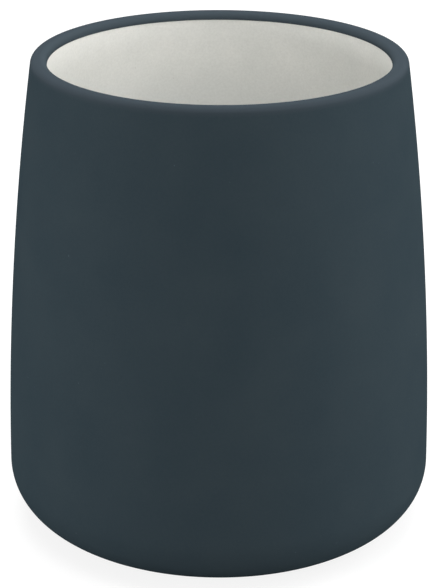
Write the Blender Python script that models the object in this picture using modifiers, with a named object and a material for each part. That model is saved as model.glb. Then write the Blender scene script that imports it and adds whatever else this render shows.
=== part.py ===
"""Ceramic pen holder: a cast stoneware pot, glazed matt and dark outside and satin and pale inside,
that stands on four self-adhesive pads in the recess of its foot. Metres, +Z up, origin on the desk."""

import math

import bmesh
import bpy

COLLECTION = "ceramic_pen_holder"

# Finished pot, over its glazes
HEIGHT = 0.100  # desk to crown
BELLY_RADIUS = 0.045
MOUTH_RADIUS = 0.0382  # outside, where the rim starts to round over
CORNER_RADIUS = 0.0112  # between the wall and the underside
CORNER_LEAN = math.radians(0.8)  # the wall's inward lean as it leaves the corner
RIM_LEAN = math.radians(8.1)  # and as it reaches the rim

# Bare casting
CASTING_OUTER_EDGE = 0.0006  # radius of the rim's outer edge
CASTING_INNER_EDGE = 0.0008  # radius of the rim's inner edge
RIM_LAND = 0.0006  # flat crown between the two
WALL_AT_FLOOR = 0.0045
FLOOR_THICKNESS = 0.004
INNER_CORNER_RADIUS = 0.006
WELL_LEAN = math.radians(6.0)  # lean of the inner wall at the rim

# Foot of the casting
FOOT_PROUD = 0.0006  # the pads lift the foot ring this far off the desk
FOOT_RING_WIDTH = 0.0035
FOOT_EDGE_ROUND = 0.0004
RECESS_DEPTH = 0.0016

# Glazes
GLAZE_THICKNESS = 0.0004
CLEARANCE = 0.0003  # kept between turned skins
SKIN = GLAZE_THICKNESS + CLEARANCE

# Pads
PAD_COUNT = 4
PAD_RADIUS = 0.005
PAD_EDGE_ROUND = 0.0004
PAD_MARGIN = 0.0015  # from the pad to the recess wall
ADHESIVE_THICKNESS = 0.0003

# Fineness of the meshes
POT_SEGMENTS = 64
PAD_SEGMENTS = 28
CORNER_STEPS = 6
WALL_STEPS = 7
RIM_STEPS = 3
INNER_CORNER_STEPS = 4
WELL_STEPS = 5
FOOT_EDGE_STEPS = 2
PAD_EDGE_STEPS = 2
MERGE_DISTANCE = 0.00001
SHARP_ANGLE = math.radians(35)

# Places that follow from the sizes
UP = math.pi / 2
DOWN = -math.pi / 2
CORNER_CENTRE = (BELLY_RADIUS - CORNER_RADIUS, FOOT_PROUD + CORNER_RADIUS)
CROWN = HEIGHT - SKIN
RIM_CENTRE = (
    MOUTH_RADIUS - (CASTING_OUTER_EDGE + SKIN) * math.cos(RIM_LEAN),
    CROWN - CASTING_OUTER_EDGE,
)
LIP_CENTRE = (RIM_CENTRE[0] - RIM_LAND, CROWN - CASTING_INNER_EDGE)
RECESS_TOP = FOOT_PROUD + RECESS_DEPTH
FLOOR_TOP = RECESS_TOP + FLOOR_THICKNESS
WELL_RADIUS = BELLY_RADIUS - SKIN - WALL_AT_FLOOR
FOOT_OUTER_RADIUS = CORNER_CENTRE[0] - CLEARANCE
RECESS_RADIUS = FOOT_OUTER_RADIUS - FOOT_RING_WIDTH


# Profiles are lists of (radius, height), and angles count from the outward direction
def on_circle(centre, radius, angle):
    return (centre[0] + radius * math.cos(angle), centre[1] + radius * math.sin(angle))


def arc(centre, radius, start, end, steps):
    turn = (end - start) / steps
    return [on_circle(centre, radius, start + turn * i) for i in range(steps + 1)]


def bowed_wall(low, low_lean, high, high_lean, steps, shift, stop=1.0):
    """A wall that leans in as it rises, from its low end up, moved outwards by shift.

    It is one cubic curve that starts and ends along the two leans."""
    handle = math.dist(low, high) / 3
    points = (
        low,
        (low[0] - handle * math.sin(low_lean), low[1] + handle * math.cos(low_lean)),
        (high[0] + handle * math.sin(high_lean), high[1] - handle * math.cos(high_lean)),
        high,
    )
    found = []
    for i in range(steps + 1):
        t = stop * i / steps
        weights = ((1 - t) ** 3, 3 * t * (1 - t) ** 2, 3 * t**2 * (1 - t), t**3)
        slopes = (-((1 - t) ** 2), (1 - t) * (1 - 3 * t), t * (2 - 3 * t), t**2)
        place, run = (
            [sum(w * p[k] for w, p in zip(shares, points)) for k in (0, 1)]
            for shares in (weights, slopes)
        )
        found.append(on_circle(place, shift, math.atan2(-run[0], run[1])))
    return found


def outside(depth):
    """From the crown, over the rim's outer edge, down the wall and under the corner.

    depth is how far the surface lies outside the bare casting."""
    corner_radius = CORNER_RADIUS - SKIN
    rim = arc(RIM_CENTRE, CASTING_OUTER_EDGE + depth, UP, RIM_LEAN, RIM_STEPS)
    corner = arc(CORNER_CENTRE, corner_radius + depth, CORNER_LEAN, DOWN, CORNER_STEPS)
    low = on_circle(CORNER_CENTRE, corner_radius, CORNER_LEAN)
    high = on_circle(RIM_CENTRE, CASTING_OUTER_EDGE, RIM_LEAN)
    wall = bowed_wall(low, CORNER_LEAN, high, RIM_LEAN, WALL_STEPS, depth)
    return rim + wall[-2:0:-1] + corner


def lip(depth):
    """From the end of the inner wall, up over the rim's inner edge to the crown."""
    return arc(LIP_CENTRE, CASTING_INNER_EDGE + depth, math.pi + WELL_LEAN, UP, RIM_STEPS)


def well(depth, seat, stop=1.0):
    """From the axis across the floor and up the inner wall, depth inside the bare casting.

    seat is how far the skin stands off the wall while it still lies on the floor."""
    rise = depth - seat
    centre = (WELL_RADIUS - seat - INNER_CORNER_RADIUS, FLOOR_TOP + INNER_CORNER_RADIUS)
    corner = arc(centre, INNER_CORNER_RADIUS - rise, DOWN, 0, INNER_CORNER_STEPS)
    low = (WELL_RADIUS, centre[1])
    high = lip(0)[0]
    wall = bowed_wall(low, 0, high, WELL_LEAN, WELL_STEPS, -depth, stop)
    return [(0, FLOOR_TOP + rise)] + corner + wall[1:]


def foot():
    """From the foot ring's outer side round the ring and across the recess to the axis."""
    edge = FOOT_EDGE_ROUND
    height = FOOT_PROUD + edge
    outer_edge = arc((FOOT_OUTER_RADIUS - edge, height), edge, 0, DOWN, FOOT_EDGE_STEPS)
    inner_edge = arc((RECESS_RADIUS + edge, height), edge, DOWN, -math.pi, FOOT_EDGE_STEPS)
    shoulder = [(FOOT_OUTER_RADIUS, FOOT_PROUD + SKIN)]
    recess = [(RECESS_RADIUS, RECESS_TOP), (0, RECESS_TOP)]
    return shoulder + outer_edge + inner_edge + recess


# Objects and materials
def clear_scene():
    for obj in list(bpy.data.objects):
        bpy.data.objects.remove(obj, do_unlink=True)


def linear(level):
    """A linear colour value from an 8-bit screen value."""
    share = level / 255
    return share / 12.92 if share <= 0.04045 else ((share + 0.055) / 1.055) ** 2.4


def material(name, screen_colour, roughness):
    made = bpy.data.materials.new(name)
    made.use_nodes = True
    shader = made.node_tree.nodes["Principled BSDF"]
    colour = tuple(linear(level) for level in screen_colour) + (1.0,)
    shader.inputs["Base Color"].default_value = colour
    shader.inputs["Roughness"].default_value = roughness
    shader.inputs["Metallic"].default_value = 0.0
    made.diffuse_color = colour
    return made


def finish(obj, collection, parent, finish_material):
    """Works the modifiers into the mesh, shades it smooth up to its real edges and files it."""
    collection.objects.link(obj)
    graph = bpy.context.evaluated_depsgraph_get()
    mesh = bpy.data.meshes.new_from_object(obj.evaluated_get(graph))
    obj.modifiers.clear()
    obj.data = mesh
    mesh.name = obj.name
    mesh.shade_smooth()
    mesh.set_sharp_from_angle(angle=SHARP_ANGLE)
    mesh.materials.append(finish_material)
    obj.parent = parent
    return obj


def turned(name, profile, closed):
    """A profile turned about Z. It runs down its outer side, and closed joins its ends."""
    mesh = bpy.data.meshes.new(name)
    shape = bmesh.new()
    points = [shape.verts.new((radius, 0, height)) for radius, height in profile]
    for first, second in zip(points, points[1:]):
        shape.edges.new((first, second))
    if closed:
        shape.edges.new((points[-1], points[0]))
    shape.to_mesh(mesh)
    shape.free()
    obj = bpy.data.objects.new(name, mesh)
    screw = obj.modifiers.new("turn", "SCREW")
    screw.axis = "Z"
    screw.angle = math.tau
    screw.steps = POT_SEGMENTS
    screw.render_steps = POT_SEGMENTS
    screw.use_merge_vertices = True
    screw.merge_threshold = MERGE_DISTANCE
    return obj


def disc(name, radius, thickness, segments, edge_round=0):
    """A round plate whose top face lies at its origin."""
    mesh = bpy.data.meshes.new(name)
    shape = bmesh.new()
    bmesh.ops.create_cone(
        shape, cap_ends=True, segments=segments, radius1=radius, radius2=radius, depth=thickness
    )
    bmesh.ops.translate(shape, verts=shape.verts, vec=(0, 0, -thickness / 2))
    shape.to_mesh(mesh)
    shape.free()
    obj = bpy.data.objects.new(name, mesh)
    if edge_round:
        bevel = obj.modifiers.new("edges", "BEVEL")
        bevel.width = edge_round
        bevel.segments = PAD_EDGE_STEPS
    return obj


def build_casting():
    return turned("ceramic_body", well(0, 0) + lip(0)[1:] + outside(0) + foot(), closed=False)


def build_outer_glaze():
    front = lip(SKIN) + outside(SKIN)
    back = lip(CLEARANCE) + outside(CLEARANCE)
    return turned("outer_glaze", front + back[::-1], closed=True)


def build_inner_glaze():
    reach = math.dist((WELL_RADIUS, FLOOR_TOP + INNER_CORNER_RADIUS), lip(0)[0])
    stop = 1 - CLEARANCE / reach
    front = well(SKIN, CLEARANCE, stop)
    back = well(CLEARANCE, CLEARANCE, stop)
    return turned("inner_glaze", front + back[::-1], closed=False)


def build_base_glaze():
    plate = disc("base_glaze", RECESS_RADIUS - CLEARANCE, GLAZE_THICKNESS, POT_SEGMENTS)
    plate.location.z = RECESS_TOP
    return plate


def build_pads():
    """Pairs of a rubber pad and its adhesive disc, spaced evenly round the recess."""
    adhesive_top = RECESS_TOP - GLAZE_THICKNESS
    pad_top = adhesive_top - ADHESIVE_THICKNESS
    ring_radius = RECESS_RADIUS - PAD_MARGIN - PAD_RADIUS
    pairs = []
    for i in range(PAD_COUNT):
        angle = math.tau * (i + 1 / 2) / PAD_COUNT
        place = (ring_radius * math.cos(angle), ring_radius * math.sin(angle))
        adhesive_radius = PAD_RADIUS - PAD_EDGE_ROUND
        adhesive = disc(f"foot_adhesive_{i + 1}", adhesive_radius, ADHESIVE_THICKNESS, PAD_SEGMENTS)
        adhesive.location = (*place, adhesive_top)
        pad = disc(f"foot_pad_{i + 1}", PAD_RADIUS, pad_top, PAD_SEGMENTS, PAD_EDGE_ROUND)
        pad.location = (*place, pad_top)
        pairs.append((adhesive, pad))
    return pairs


def main():
    clear_scene()
    collection = bpy.data.collections.new(COLLECTION)
    bpy.context.scene.collection.children.link(collection)
    parent = bpy.data.objects.new("pot_on_desk", None)
    collection.objects.link(parent)

    stoneware = material("bare_stoneware", (206, 198, 184), 0.85)
    dark_glaze = material("dark_matt_glaze", (47, 59, 65), 0.55)
    pale_glaze = material("pale_satin_glaze", (214, 213, 204), 0.35)
    rubber = material("grey_rubber", (58, 58, 57), 0.85)
    adhesive_film = material("adhesive_film", (226, 222, 205), 0.6)

    finish(build_casting(), collection, parent, stoneware)
    finish(build_outer_glaze(), collection, parent, dark_glaze)
    finish(build_inner_glaze(), collection, parent, pale_glaze)
    finish(build_base_glaze(), collection, parent, dark_glaze)
    for adhesive, pad in build_pads():
        finish(adhesive, collection, parent, adhesive_film)
        finish(pad, collection, parent, rubber)


main()
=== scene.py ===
import math

import bmesh
import bpy
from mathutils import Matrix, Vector, noise


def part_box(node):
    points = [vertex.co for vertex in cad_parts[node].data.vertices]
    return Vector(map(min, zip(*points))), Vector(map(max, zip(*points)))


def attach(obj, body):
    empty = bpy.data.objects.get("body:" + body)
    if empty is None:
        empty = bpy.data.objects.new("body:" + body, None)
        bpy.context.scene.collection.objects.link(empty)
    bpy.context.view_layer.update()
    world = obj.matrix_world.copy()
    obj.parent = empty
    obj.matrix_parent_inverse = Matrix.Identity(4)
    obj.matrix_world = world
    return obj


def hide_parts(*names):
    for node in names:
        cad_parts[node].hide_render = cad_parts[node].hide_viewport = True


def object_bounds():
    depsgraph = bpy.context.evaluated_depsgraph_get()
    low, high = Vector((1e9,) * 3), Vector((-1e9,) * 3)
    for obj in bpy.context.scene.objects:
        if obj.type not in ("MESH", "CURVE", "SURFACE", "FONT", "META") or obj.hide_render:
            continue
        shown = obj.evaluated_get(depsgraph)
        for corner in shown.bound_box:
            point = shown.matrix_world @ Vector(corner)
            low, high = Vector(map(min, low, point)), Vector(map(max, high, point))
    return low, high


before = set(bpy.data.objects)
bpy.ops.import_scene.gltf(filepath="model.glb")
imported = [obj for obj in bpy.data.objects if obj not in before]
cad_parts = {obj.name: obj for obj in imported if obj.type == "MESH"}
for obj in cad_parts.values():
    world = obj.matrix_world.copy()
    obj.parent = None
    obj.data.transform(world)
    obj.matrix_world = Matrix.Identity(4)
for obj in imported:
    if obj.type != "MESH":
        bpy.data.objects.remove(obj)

cadLow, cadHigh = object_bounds()
print("Frame loaded,", len(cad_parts), "CAD nodes")

mm = 0.001
touching = 0.001 * mm  # points closer than this are one point
sharpFrom = math.radians(40)  # an edge that turns by more than this is drawn sharp
up = math.pi / 2
down = -math.pi / 2

# The form that the casting and its glazes share. Change it together with the CAD.
pot = {
    "height": cadHigh.z,
    "bellyRadius": 45 * mm,
    "mouthRadius": 38.2 * mm,  # outside, where the rim starts to round over
    "cornerRadius": 11.2 * mm,  # between the wall and the underside
    "cornerLean": math.radians(0.8),
    "rimLean": math.radians(8.1),
    "outerEdge": 0.6 * mm,  # the bare rim's two roundings, and the flat between them
    "innerEdge": 0.8 * mm,
    "rimLand": 0.6 * mm,
    "wallAtFloor": 4.5 * mm,
    "innerCorner": 6 * mm,
    "wellLean": math.radians(6),
    "glazeFront": 0.7 * mm,  # how far a glaze's two faces stand off the casting
    "glazeBack": 0.3 * mm,
    "segments": 256,
    "unevenness": 0.03 * mm,  # always inwards, so the pot keeps to its size
    "lumpSize": 24 * mm,
}

castingLow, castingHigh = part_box("ceramic_body")
baseLow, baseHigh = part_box("base_glaze")
footHeight = castingLow.z
recessTop = baseHigh.z
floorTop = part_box("inner_glaze")[0].z
crown = castingHigh.z
wellRadius = pot["bellyRadius"] - pot["glazeFront"] - pot["wallAtFloor"]
cornerCentre = (pot["bellyRadius"] - pot["cornerRadius"], footHeight + pot["cornerRadius"])
bareCorner = pot["cornerRadius"] - pot["glazeFront"]
rimReach = (pot["outerEdge"] + pot["glazeFront"]) * math.cos(pot["rimLean"])
rimCentre = (pot["mouthRadius"] - rimReach, crown - pot["outerEdge"])
lipCentre = (rimCentre[0] - pot["rimLand"], crown - pot["innerEdge"])
lipStart = math.pi + pot["wellLean"]


# A profile is a list of (radius, height), and angles count from the outward direction
def onCircle(centre, radius, angle):
    return (centre[0] + radius * math.cos(angle), centre[1] + radius * math.sin(angle))


def arc(centre, radius, start, end, steps):
    turn = (end - start) / steps
    return [onCircle(centre, radius, start + turn * i) for i in range(steps + 1)]


# From 0 to 1 without a corner at either end
def eased(value):
    value = min(max(value, 0.0), 1.0)
    return value * value * (3 - 2 * value)


# One cubic curve that leans in as it rises. shiftAt gives how far out each point moves.
def bowedWall(low, lowLean, high, highLean, steps, shiftAt):
    handle = math.dist(low, high) / 3
    lowHandle = (low[0] - handle * math.sin(lowLean), low[1] + handle * math.cos(lowLean))
    highHandle = (high[0] + handle * math.sin(highLean), high[1] - handle * math.cos(highLean))
    points = (low, lowHandle, highHandle, high)
    found = []
    for i in range(steps + 1):
        t = i / steps
        weights = ((1 - t) ** 3, 3 * t * (1 - t) ** 2, 3 * t**2 * (1 - t), t**3)
        slopes = (-((1 - t) ** 2), (1 - t) * (1 - 3 * t), t * (2 - 3 * t), t**2)
        place = [sum(w * p[k] for w, p in zip(weights, points)) for k in (0, 1)]
        run = [sum(s * p[k] for s, p in zip(slopes, points)) for k in (0, 1)]
        found.append(onCircle(place, shiftAt(t), math.atan2(-run[0], run[1])))
    return found


# From the crown over the rim's outer edge, down the wall and under the corner. steps holds
# the number of steps along each of the three.
def outsideFace(depth, steps, lastAngle=down):
    rimSteps, wallSteps, cornerSteps = steps
    rim = arc(rimCentre, pot["outerEdge"] + depth, up, pot["rimLean"], rimSteps)
    low = onCircle(cornerCentre, bareCorner, pot["cornerLean"])
    high = onCircle(rimCentre, pot["outerEdge"], pot["rimLean"])
    wall = bowedWall(low, pot["cornerLean"], high, pot["rimLean"], wallSteps, lambda t: depth)
    corner = arc(cornerCentre, bareCorner + depth, pot["cornerLean"], lastAngle, cornerSteps)
    return rim + wall[-2:0:-1] + corner


# From the axis across the well's floor, round its corner and up its wall to where the lip starts
def wellFace(rise, seat, steps, depthAt):
    floorSteps, cornerSteps, wallSteps = steps
    centre = (wellRadius - seat - pot["innerCorner"], floorTop + pot["innerCorner"])
    floor = [(centre[0] * i / floorSteps, floorTop + rise) for i in range(floorSteps)]
    corner = arc(centre, pot["innerCorner"] - rise, down, 0, cornerSteps)
    high = onCircle(lipCentre, pot["innerEdge"], lipStart)
    low = (wellRadius, centre[1])
    wall = bowedWall(low, 0, high, pot["wellLean"], wallSteps, lambda t: -depthAt(t))
    return floor + corner + wall[1:]


# Slow thick and thin places, as on any cast and dipped pot
def letSettle(shape):
    for vert in shape.verts:
        lump = noise.noise(vert.co / pot["lumpSize"]) * 0.5 + 0.5
        share = 1 - lump * pot["unevenness"] / pot["bellyRadius"]
        vert.co.x *= share
        vert.co.y *= share


def makePiece(name, shape, material, slotName, *nodes):
    mesh = bpy.data.meshes.new(name)
    shape.to_mesh(mesh)
    shape.free()
    mesh.shade_smooth()
    mesh.set_sharp_from_angle(angle=sharpFrom)
    mesh.materials.append(material)
    piece = bpy.data.objects.new(name, mesh)
    bpy.context.scene.collection.objects.link(piece)
    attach(piece, "root")
    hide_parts(*nodes)
    return piece


# A profile turned about Z. closed joins its two ends.
def turnProfile(profile, segments, closed=False):
    shape = bmesh.new()
    points = [shape.verts.new((radius, 0, height)) for radius, height in profile]
    edges = [shape.edges.new(pair) for pair in zip(points, points[1:])]
    if closed:
        edges.append(shape.edges.new((points[-1], points[0])))
    bmesh.ops.spin(
        shape,
        geom=points + edges,
        cent=(0, 0, 0),
        axis=(0, 0, 1),
        dvec=(0, 0, 0),
        angle=math.tau,
        steps=segments,
        use_merge=True,
    )
    bmesh.ops.remove_doubles(shape, verts=shape.verts, dist=touching)
    bmesh.ops.recalc_face_normals(shape, faces=shape.faces)
    return shape


# Colours are written as they look on a screen, 0 to 255
def screenColour(red, green, blue):
    shares = [level / 255 for level in (red, green, blue)]
    linear = [s / 12.92 if s <= 0.04045 else ((s + 0.055) / 1.055) ** 2.4 for s in shares]
    return (*linear, 1.0)


def newMaterial(name):
    material = bpy.data.materials.new(name)
    material.use_nodes = True
    tree = material.node_tree
    place = tree.nodes.new("ShaderNodeTexCoord").outputs["Object"]
    return material, tree, tree.nodes["Principled BSDF"], place


# Soft noise from 0 to 1, whose lumps are about size metres across
def cloudy(tree, place, size, detail=2.0, roughness=0.5):
    node = tree.nodes.new("ShaderNodeTexNoise")
    node.inputs["Scale"].default_value = 1 / size
    node.inputs["Detail"].default_value = detail
    node.inputs["Roughness"].default_value = roughness
    tree.links.new(place, node.inputs["Vector"])
    return node.outputs["Fac"]


# Moves the part of a value between low and high to between newLow and newHigh
def rescale(tree, value, low, high, newLow, newHigh):
    node = tree.nodes.new("ShaderNodeMapRange")
    for name, number in (
        ("From Min", low),
        ("From Max", high),
        ("To Min", newLow),
        ("To Max", newHigh),
    ):
        node.inputs[name].default_value = number
    tree.links.new(value, node.inputs["Value"])
    return node.outputs["Result"]


softRange = (0.3, 0.7)  # nearly all of a soft noise lies between these


def spread(tree, softNoise, low, high):
    return rescale(tree, softNoise, *softRange, low, high)


# Scattered grains, wherever a fine noise rises through its peaks. share is how much they show.
def speckled(tree, place, size, peaks, share):
    return rescale(tree, cloudy(tree, place, size, detail=1), *peaks, 0, share)


def combine(tree, operation, first, second):
    node = tree.nodes.new("ShaderNodeMath")
    node.operation = operation
    tree.links.new(first, node.inputs[0])
    tree.links.new(second, node.inputs[1])
    return node.outputs["Value"]


# How far a place is from the pot's axis
def fromAxis(tree, place):
    flat = tree.nodes.new("ShaderNodeMapping")
    flat.inputs["Scale"].default_value = (1, 1, 0)
    tree.links.new(place, flat.inputs["Vector"])
    node = tree.nodes.new("ShaderNodeVectorMath")
    node.operation = "LENGTH"
    tree.links.new(flat.outputs["Vector"], node.inputs[0])
    return node.outputs["Value"]


def heightOf(tree, place):
    parts = tree.nodes.new("ShaderNodeSeparateXYZ")
    tree.links.new(place, parts.inputs["Vector"])
    return parts.outputs["Z"]


# 1 above a height and 0 below it
def above(tree, place, height):
    return rescale(tree, heightOf(tree, place), height, height + mm, 0, 1)


def mixColours(tree, factor, first, second):
    node = tree.nodes.new("ShaderNodeMix")
    node.data_type = "RGBA"
    for socket, colour in ((node.inputs["A"], first), (node.inputs["B"], second)):
        if isinstance(colour, tuple):
            socket.default_value = colour
        else:
            tree.links.new(colour, socket)
    tree.links.new(factor, node.inputs["Factor"])
    return node.outputs["Result"]


# Raises the surface by height metres where value is 1, on top of an earlier bump
def raised(tree, value, height, under=None):
    node = tree.nodes.new("ShaderNodeBump")
    node.inputs["Distance"].default_value = height
    tree.links.new(value, node.inputs["Height"])
    if under is not None:
        tree.links.new(under, node.inputs["Normal"])
    return node.outputs["Normal"]


# Dark matt glaze: nearly even, with slow clouds, a fine dry grain and a few paler flecks. Over
# the rim it is paler and greyer, a painted sheen on top of some real thinning of the glaze there.
# The inner lip is paler still, painted light.
mattGlaze = {
    "colour": (44, 55, 61),
    "paler": (50, 60, 65),
    "cloudShare": 0.6,  # how much of the paler tone comes in clouds, and how much in the grain
    "grainShare": 0.4,
    "cloudSize": 14 * mm,
    "grainSize": 0.5 * mm,
    "grainHeight": 0.008 * mm,
    # Painted sheen: the rim's paler, greyer tone
    "rim": (55, 63, 69),
    "rimSheenHeights": (98.2 * mm, 99.4 * mm),  # where the painted rim sheen starts, and where it is full
    # Painted light: the inner lip's paler tone
    "lip": (61, 70, 76),
    "lipLightRadii": (36.4 * mm, 34.9 * mm),  # the same for the painted light on the lip, going inwards
    "fleck": (76, 87, 93),
    "flecks": {"size": 0.8 * mm, "peaks": (0.8, 0.84), "share": 0.5},
    "lumpSize": 4 * mm,
    "lumpHeight": 0.01 * mm,
    "roughness": (0.8, 0.88),
    "specular": 0.0,
}


def makeMattGlaze():
    material, tree, shader, place = newMaterial("darkMattGlaze")
    clouds = cloudy(tree, place, mattGlaze["cloudSize"], detail=3)
    grain = cloudy(tree, place, mattGlaze["grainSize"], detail=3, roughness=0.6)
    slow = spread(tree, clouds, 0, mattGlaze["cloudShare"])
    fast = spread(tree, grain, 0, mattGlaze["grainShare"])
    paleness = combine(tree, "ADD", slow, fast)
    dark = screenColour(*mattGlaze["colour"])
    ground = mixColours(tree, paleness, dark, screenColour(*mattGlaze["paler"]))
    # Painted sheen over the rim, then painted light on the inner lip
    rimSheenShare = rescale(tree, heightOf(tree, place), *mattGlaze["rimSheenHeights"], 0, 1)
    ground = mixColours(tree, rimSheenShare, ground, screenColour(*mattGlaze["rim"]))
    # The painted light on the lip stays off the recess glaze, which is as near to the axis
    inwards = rescale(tree, fromAxis(tree, place), *mattGlaze["lipLightRadii"], 0, 1)
    inwards = combine(tree, "MULTIPLY", inwards, above(tree, place, pot["height"] / 2))
    ground = mixColours(tree, inwards, ground, screenColour(*mattGlaze["lip"]))
    specks = speckled(tree, place, **mattGlaze["flecks"])
    colour = mixColours(tree, specks, ground, screenColour(*mattGlaze["fleck"]))
    tree.links.new(colour, shader.inputs["Base Color"])
    gloss = spread(tree, grain, *mattGlaze["roughness"])
    tree.links.new(gloss, shader.inputs["Roughness"])
    shader.inputs["Specular IOR Level"].default_value = mattGlaze["specular"]
    lumps = raised(tree, cloudy(tree, place, mattGlaze["lumpSize"]), mattGlaze["lumpHeight"])
    skin = raised(tree, grain, mattGlaze["grainHeight"], lumps)
    tree.links.new(skin, shader.inputs["Normal"])
    return material


# Pale satin glaze: warm white, sandy at close range, softly uneven in gloss. Further down
# the well it is painted greyer, as painted shade.
satinGlaze = {
    "colour": (243, 242, 237),
    "darker": (236, 236, 231),
    "cloudSize": 10 * mm,
    # Painted shade down the well
    "wellShade": (220, 221, 219),
    "wellShadeHeights": (90 * mm, 72 * mm),  # where the painted shade starts, and where it is darkest
    "sand": (178, 177, 170),
    "sandShare": 0.16,
    "grainSize": 0.5 * mm,
    "grainHeight": 0.006 * mm,
    "fleck": (176, 168, 152),
    "flecks": {"size": 0.9 * mm, "peaks": (0.8, 0.84), "share": 0.5},
    "lumpSize": 5 * mm,
    "lumpHeight": 0.012 * mm,
    "roughness": (0.34, 0.46),
    "specular": 0.4,
}


def makeSatinGlaze():
    material, tree, shader, place = newMaterial("paleSatinGlaze")
    clouds = cloudy(tree, place, satinGlaze["cloudSize"], detail=3)
    grain = cloudy(tree, place, satinGlaze["grainSize"], detail=3, roughness=0.6)
    slow = spread(tree, clouds, 0, 1)
    sandy = spread(tree, grain, 0, satinGlaze["sandShare"])
    # Painted shade: greyer further down the well
    depth = rescale(tree, heightOf(tree, place), *satinGlaze["wellShadeHeights"], 0, 1)
    darker = screenColour(*satinGlaze["darker"])
    ground = mixColours(tree, slow, screenColour(*satinGlaze["colour"]), darker)
    ground = mixColours(tree, depth, ground, screenColour(*satinGlaze["wellShade"]))
    ground = mixColours(tree, sandy, ground, screenColour(*satinGlaze["sand"]))
    specks = speckled(tree, place, **satinGlaze["flecks"])
    colour = mixColours(tree, specks, ground, screenColour(*satinGlaze["fleck"]))
    tree.links.new(colour, shader.inputs["Base Color"])
    gloss = spread(tree, clouds, *satinGlaze["roughness"])
    tree.links.new(gloss, shader.inputs["Roughness"])
    shader.inputs["Specular IOR Level"].default_value = satinGlaze["specular"]
    lumps = raised(tree, cloudy(tree, place, satinGlaze["lumpSize"]), satinGlaze["lumpHeight"])
    skin = raised(tree, grain, satinGlaze["grainHeight"], lumps)
    tree.links.new(skin, shader.inputs["Normal"])
    return material


# Bare fired stoneware: buff, dry and gritty, with dark iron grains
stoneware = {
    "colour": (208, 200, 186),
    "darker": (190, 180, 163),
    "cloudSize": 6 * mm,
    "ironGrain": (112, 92, 74),
    "ironGrains": {"size": 0.7 * mm, "peaks": (0.7, 0.76), "share": 0.8},
    "gritSize": 0.35 * mm,
    "gritHeight": 0.02 * mm,
    "roughness": (0.8, 0.95),
    "specular": 0.3,
}


def makeStoneware():
    material, tree, shader, place = newMaterial("bareStoneware")
    grit = cloudy(tree, place, stoneware["gritSize"], detail=4, roughness=0.7)
    clouds = cloudy(tree, place, stoneware["cloudSize"], detail=3)
    body = screenColour(*stoneware["colour"])
    shades = spread(tree, clouds, 0, 1)
    ground = mixColours(tree, shades, body, screenColour(*stoneware["darker"]))
    specks = speckled(tree, place, **stoneware["ironGrains"])
    colour = mixColours(tree, specks, ground, screenColour(*stoneware["ironGrain"]))
    tree.links.new(colour, shader.inputs["Base Color"])
    gloss = spread(tree, grit, *stoneware["roughness"])
    tree.links.new(gloss, shader.inputs["Roughness"])
    shader.inputs["Specular IOR Level"].default_value = stoneware["specular"]
    tree.links.new(raised(tree, grit, stoneware["gritHeight"]), shader.inputs["Normal"])
    return material


# Moulded rubber: dark grey with a fine matt tooth and a little dust
rubber = {
    "colour": (55, 55, 54),
    "dusty": (72, 71, 68),
    "dustSize": 2.5 * mm,
    "dustRange": (0.35, 0.7),  # from clean to dustiest, in the noise that places it
    "toothSize": 0.18 * mm,
    "toothHeight": 0.012 * mm,
    "roughness": (0.74, 0.9),  # clean, and dusty
    "specular": 0.35,
}


def makeRubber():
    material, tree, shader, place = newMaterial("greyRubber")
    tooth = cloudy(tree, place, rubber["toothSize"], detail=1)
    dust = cloudy(tree, place, rubber["dustSize"], detail=4, roughness=0.6)
    dust = rescale(tree, dust, *rubber["dustRange"], 0, 1)
    dusty = screenColour(*rubber["dusty"])
    colour = mixColours(tree, dust, screenColour(*rubber["colour"]), dusty)
    tree.links.new(colour, shader.inputs["Base Color"])
    gloss = rescale(tree, dust, 0, 1, *rubber["roughness"])
    tree.links.new(gloss, shader.inputs["Roughness"])
    shader.inputs["Specular IOR Level"].default_value = rubber["specular"]
    tree.links.new(raised(tree, tooth, rubber["toothHeight"]), shader.inputs["Normal"])
    return material


# Adhesive film: milky and slightly yellow, with faint streaks
adhesive = {
    "colour": (228, 224, 208),
    "yellower": (216, 209, 184),
    "streakSize": 1.5 * mm,
    "streakHeight": 0.006 * mm,
    "roughness": (0.42, 0.58),
}


def makeAdhesive():
    material, tree, shader, place = newMaterial("adhesiveFilm")
    streaks = cloudy(tree, place, adhesive["streakSize"], detail=4, roughness=0.6)
    shades = spread(tree, streaks, 0, 1)
    yellower = screenColour(*adhesive["yellower"])
    colour = mixColours(tree, shades, screenColour(*adhesive["colour"]), yellower)
    tree.links.new(colour, shader.inputs["Base Color"])
    gloss = rescale(tree, shades, 0, 1, *adhesive["roughness"])
    tree.links.new(gloss, shader.inputs["Roughness"])
    tree.links.new(raised(tree, streaks, adhesive["streakHeight"]), shader.inputs["Normal"])
    return material


darkMattGlaze = makeMattGlaze()
paleSatinGlaze = makeSatinGlaze()
bareStoneware = makeStoneware()
greyRubber = makeRubber()
adhesiveFilm = makeAdhesive()
print("Materials made")


# Casting: the bare pot, of which only the foot ring shows
casting = {
    "ringWidth": 3.5 * mm,
    "ringGap": 0.3 * mm,  # from the dark glaze's lower end to the ring
    "ringRounding": 0.4 * mm,
    "ringSteps": 6,
    "landSteps": 4,  # across the ring's flat underside
    "recessRings": 8,
    "lipSteps": 8,
    "wellSteps": (8, 8, 24),  # across the floor, round the corner and up the wall
    "outsideSteps": (6, 24, 12),  # over the rim, down the wall and under the corner
}
ringOuter = cornerCentre[0] - casting["ringGap"]
ringInner = ringOuter - casting["ringWidth"]


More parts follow.
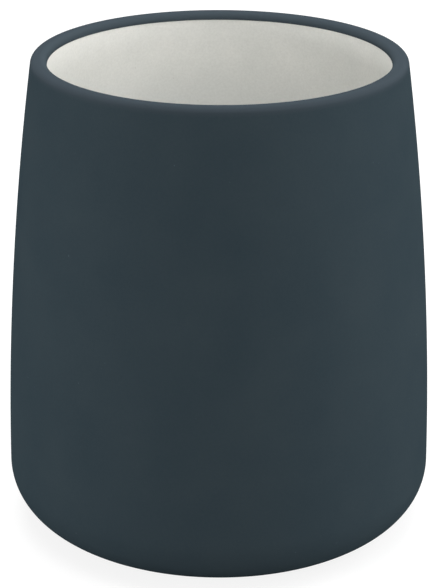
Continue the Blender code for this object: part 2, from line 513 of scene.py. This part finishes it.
def makeCasting():
    rounding = casting["ringRounding"]
    low = footHeight + rounding
    outerSide = ringOuter - rounding
    innerSide = ringInner + rounding
    steps = casting["ringSteps"]
    landSteps = casting["landSteps"]
    rings = casting["recessRings"]
    well = wellFace(0, 0, casting["wellSteps"], lambda t: 0)
    lip = arc(lipCentre, pot["innerEdge"], lipStart, up, casting["lipSteps"])
    foot = [(ringOuter, footHeight + pot["glazeFront"])]
    foot += arc((outerSide, low), rounding, 0, down, steps)
    for i in range(1, landSteps):
        foot.append((outerSide + (innerSide - outerSide) * i / landSteps, footHeight))
    foot += arc((innerSide, low), rounding, down, -math.pi, steps)
    foot += [(ringInner * (rings - i) / rings, recessTop) for i in range(rings + 1)]
    profile = well + lip[1:] + outsideFace(0, casting["outsideSteps"]) + foot
    shape = turnProfile(profile, pot["segments"])
    letSettle(shape)
    return makePiece("stoneware_casting", shape, bareStoneware, "bare_stoneware", "ceramic_body")


# Dark coat: over the rim and down to the foot ring, lapping the pale lining at the mouth
coat = {
    "lapEdge": 0.12 * mm,  # thickness of its edge inside the mouth
    "lapAngle": math.radians(24),  # how much of the lip's rounding it thins over
    "lapSteps": 6,
    "lipSteps": 24,
    "lipRearSteps": 16,
    "faceSteps": (14, 60, 36),  # over the rim, down the wall and under the corner
    "rearSteps": (8, 24, 14),
    "footSteps": 8,
}


def makeCoat():
    front = pot["glazeFront"]
    back = pot["glazeBack"]
    half = coat["lapEdge"] / 2
    edgeRadius = pot["innerEdge"] + front - half
    edgeAngle = lipStart - half / edgeRadius
    edge = onCircle(lipCentre, edgeRadius, edgeAngle)
    tip = arc(edge, half, edgeAngle + math.pi, edgeAngle, coat["lapSteps"])
    lipFront = arc(lipCentre, pot["innerEdge"] + front, edgeAngle, up, coat["lipSteps"])
    steps = coat["lipRearSteps"]
    behind = []
    for i in range(steps + 1):
        angle = up + (edgeAngle - up) * i / steps
        thinned = eased((angle - edgeAngle) / coat["lapAngle"] + 1)
        depth = back + (front - coat["lapEdge"] - back) * thinned
        behind.append(onCircle(lipCentre, pot["innerEdge"] + depth, angle))
    thick = front - back
    footAngle = down + thick / 2 / pot["cornerRadius"]
    footEdge = onCircle(cornerCentre, bareCorner + (front + back) / 2, footAngle)
    footTip = arc(footEdge, thick / 2, footAngle, footAngle - math.pi, coat["footSteps"])
    face = outsideFace(front, coat["faceSteps"], footAngle)
    rear = outsideFace(back, coat["rearSteps"], footAngle)
    profile = lipFront + face + footTip[1:-1] + rear[::-1] + behind + tip[1:-1]
    shape = turnProfile(profile, pot["segments"], closed=True)
    letSettle(shape)
    return makePiece("matt_glaze_coat", shape, darkMattGlaze, "dark_matt_glaze", "outer_glaze")


# Pale lining: the well's floor and wall. Its top end thins and passes behind the dark edge.
lining = {
    "step": 0.13 * mm,  # how far the dark edge stands proud of it
    "stepFade": 0.05,  # share of the wall over which the step grows
    "tongue": math.radians(20),  # how far it goes on behind the dark edge
    "tongueDepth": 0.48 * mm,
    "tongueSink": 0.5,  # share of the tongue over which it thins
    "tongueSteps": 8,
    "tongueRearSteps": 6,
    "faceSteps": (16, 20, 64),  # across the floor, round the corner and up the wall
    "rearSteps": (8, 8, 24),
}


def makeLining():
    front = pot["glazeFront"]
    back = pot["glazeBack"]

    def frontDepth(t):
        return front - lining["step"] * eased((t - 1) / lining["stepFade"] + 1)

    face = wellFace(front - back, back, lining["faceSteps"], frontDepth)
    sunk = front - lining["step"]
    steps = lining["tongueSteps"]
    tongueFront = []
    for i in range(1, steps + 1):
        thinned = eased(i / steps / lining["tongueSink"])
        depth = sunk + (lining["tongueDepth"] - sunk) * thinned
        angle = lipStart - lining["tongue"] * i / steps
        tongueFront.append(onCircle(lipCentre, pot["innerEdge"] + depth, angle))
    tongueEnd = lipStart - lining["tongue"]
    rearSteps = lining["tongueRearSteps"]
    tongueRear = arc(lipCentre, pot["innerEdge"] + back, tongueEnd, lipStart, rearSteps)
    rear = wellFace(0, back, lining["rearSteps"], lambda t: back)
    profile = face + tongueFront + tongueRear[:-1] + rear[::-1]
    shape = turnProfile(profile, pot["segments"])
    letSettle(shape)
    return makePiece("satin_glaze_lining", shape, paleSatinGlaze, "pale_satin_glaze", "inner_glaze")


# Recess glaze: the dark disc inside the foot ring, rounded where it draws back from the ring
recessGlaze = {
    "rounding": 0.22 * mm,
    "roundingSteps": 6,
    "rings": 10,
    "segments": 192,
}


def makeRecessGlaze():
    radius = baseHigh.x
    rounding = recessGlaze["rounding"]
    rings = recessGlaze["rings"]
    centre = (radius - rounding, baseLow.z + rounding)
    upper = [(radius * i / rings, baseHigh.z) for i in range(rings + 1)]
    edge = arc(centre, rounding, 0, down, recessGlaze["roundingSteps"])
    lower = [(centre[0] * (rings - i) / rings, baseLow.z) for i in range(1, rings + 1)]
    shape = turnProfile(upper + edge + lower, recessGlaze["segments"])
    return makePiece("recess_glaze", shape, darkMattGlaze, "dark_matt_glaze", "base_glaze")


print("Turning the pot")
makeCasting()
makeCoat()
makeLining()
makeRecessGlaze()

# Rubber pads and the adhesive film that holds them, each made at its CAD node's place
capInset = 0.25  # how far in a plate's flat ends are divided, as a share of its radius
pad = {
    "segments": 72,
    "lowerRounding": 0.4 * mm,
    "upperRounding": 0.12 * mm,
    "draft": 0.06 * mm,  # how much narrower its top is than its foot
    "steps": 5,
}
film = {
    "segments": 64,
    "rounding": 0.06 * mm,
    "steps": 2,
}


# A round plate that fills a CAD node's box, with its lower and upper edges rounded
def makePlate(node, segments, lowerRounding, upperRounding, steps, draft=0.0):
    low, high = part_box(node)
    middle = (low + high) / 2
    radius = (high.x - low.x) / 2
    shape = bmesh.new()
    bmesh.ops.create_cone(
        shape,
        cap_ends=True,
        segments=segments,
        radius1=radius,
        radius2=radius - draft,
        depth=high.z - low.z,
    )
    bmesh.ops.translate(shape, verts=shape.verts, vec=middle)
    for height, rounding in ((low.z, lowerRounding), (high.z, upperRounding)):
        rim = []
        for edge in shape.edges:
            if all(abs(vert.co.z - height) < touching for vert in edge.verts):
                rim.append(edge)
        bmesh.ops.bevel(
            shape,
            geom=rim,
            offset=rounding,
            affect="EDGES",
            segments=steps,
            profile=0.5,
            material=-1,
        )
    for cap in [face for face in shape.faces if len(face.verts) == segments]:
        bmesh.ops.inset_region(shape, faces=[cap], thickness=radius * capInset)
    bmesh.ops.recalc_face_normals(shape, faces=shape.faces)
    return shape


for number in (1, 2, 3, 4):
    node = f"foot_pad_{number}"
    roundings = (pad["lowerRounding"], pad["upperRounding"])
    shape = makePlate(node, pad["segments"], *roundings, pad["steps"], pad["draft"])
    makePiece(f"rubber_pad_{number}", shape, greyRubber, "grey_rubber", node)
    node = f"foot_adhesive_{number}"
    shape = makePlate(node, film["segments"], film["rounding"], film["rounding"], film["steps"])
    makePiece(f"adhesive_disc_{number}", shape, adhesiveFilm, "adhesive_film", node)
print("Foot done")

# The studio: a white floor, even light all round, and soft boxes on all four sides and above
studio = {
    "ambient": 0.35,
    "floorRadius": 2.5,
    "floorSegments": 96,
    "floorBounce": (185, 185, 185),  # as it lights the pot
    "floorSeen": (122, 122, 122),  # as the camera sees it, together with its glow
    "floorGlow": 0.85,
    "aimHeight": 0.05,  # where the soft boxes point
}


# 1 for what the camera sees, also by reflection or through glass, and 0 for light on the pot
def seenDirectly(tree):
    path = tree.nodes.new("ShaderNodeLightPath")
    seen = path.outputs["Is Camera Ray"]
    for kind in ("Is Glossy Ray", "Is Transmission Ray"):
        seen = combine(tree, "MAXIMUM", seen, path.outputs[kind])
    return seen


def makeWorld():
    world = bpy.data.worlds.new("studio")
    bpy.context.scene.world = world
    world.use_nodes = True
    tree = world.node_tree
    background = tree.nodes["Background"]
    background.inputs["Color"].default_value = (1, 1, 1, 1)
    strength = rescale(tree, seenDirectly(tree), 0, 1, studio["ambient"], 1)
    tree.links.new(strength, background.inputs["Strength"])


def makeFloor():
    shape = bmesh.new()
    bmesh.ops.create_circle(
        shape,
        cap_ends=True,
        segments=studio["floorSegments"],
        radius=studio["floorRadius"],
    )
    mesh = bpy.data.meshes.new("floor")
    shape.to_mesh(mesh)
    shape.free()
    material = bpy.data.materials.new("floorWhite")
    material.use_nodes = True
    tree = material.node_tree
    tree.nodes.remove(tree.nodes["Principled BSDF"])
    bounce = tree.nodes.new("ShaderNodeBsdfDiffuse")
    bounce.inputs["Color"].default_value = screenColour(*studio["floorBounce"])
    lit = tree.nodes.new("ShaderNodeBsdfDiffuse")
    lit.inputs["Color"].default_value = screenColour(*studio["floorSeen"])
    glow = tree.nodes.new("ShaderNodeEmission")
    glow.inputs["Strength"].default_value = studio["floorGlow"]
    both = tree.nodes.new("ShaderNodeAddShader")
    tree.links.new(lit.outputs["BSDF"], both.inputs[0])
    tree.links.new(glow.outputs["Emission"], both.inputs[1])
    choice = tree.nodes.new("ShaderNodeMixShader")
    tree.links.new(seenDirectly(tree), choice.inputs["Fac"])
    tree.links.new(bounce.outputs["BSDF"], choice.inputs[1])
    tree.links.new(both.outputs["Shader"], choice.inputs[2])
    tree.links.new(choice.outputs["Shader"], tree.nodes["Material Output"].inputs["Surface"])
    mesh.materials.append(material)
    floor = bpy.data.objects.new("floor", mesh)
    bpy.context.scene.collection.objects.link(floor)


# Each soft box faces the pot. Its size is its width and its height.
softBoxes = {
    "leftBox": {"place": (-0.69, -0.17, 0.08), "size": (0.5, 0.18), "power": 3.25},
    "rightBox": {"place": (0.69, -0.13, 0.08), "size": (0.5, 0.22), "power": 2.7},
    "highRightBox": {"place": (0.52, -0.05, 0.55), "size": (0.5, 0.4), "power": 2.2},
    "topBox": {"place": (0, 0, 0.8), "size": (0.6, 0.6), "power": 4.9},
    "backBox": {"place": (0, 0.5, 0.6), "size": (0.6, 0.6), "power": 3.5},
    "frontBox": {"place": (0.05, -0.9, 0.35), "size": (0.5, 0.4), "power": 1.4},
}


def makeSoftBox(name, box):
    light = bpy.data.lights.new(name, "AREA")
    light.shape = "RECTANGLE"
    light.size, light.size_y = box["size"]
    light.energy = box["power"]
    lamp = bpy.data.objects.new(name, light)
    lamp.location = box["place"]
    aim = Vector((0, 0, studio["aimHeight"])) - Vector(box["place"])
    lamp.rotation_euler = aim.to_track_quat("-Z", "Y").to_euler()
    lamp.visible_camera = False
    bpy.context.scene.collection.objects.link(lamp)


makeWorld()
makeFloor()
for name, box in softBoxes.items():
    makeSoftBox(name, box)

# The camera stands a little above the pot, square in front of it
view = {
    "distance": 0.42838,
    "height": math.radians(21.4914),  # above the pot's middle
    "pitch": math.radians(21.7492),
    "roll": math.radians(0.1517),
    "aside": 0.000187,
    "lens": 124.43,  # in millimetres, and so is the sensor's width
    "sensor": 36,
    "nearClip": 0.01,
}


def makeCamera():
    lens = bpy.data.cameras.new("camera")
    lens.lens = view["lens"]
    lens.sensor_width = view["sensor"]
    lens.clip_start = view["nearClip"]
    camera = bpy.data.objects.new("camera", lens)
    back = view["distance"] * math.cos(view["height"])
    rise = view["distance"] * math.sin(view["height"])
    camera.location = (view["aside"], -back, pot["height"] / 2 + rise)
    camera.rotation_euler = (up - view["pitch"], 0, 0)
    camera.rotation_euler.rotate_axis("Z", view["roll"])
    bpy.context.scene.collection.objects.link(camera)
    bpy.context.scene.camera = camera


makeCamera()
bpy.context.scene.view_settings.view_transform = "Standard"
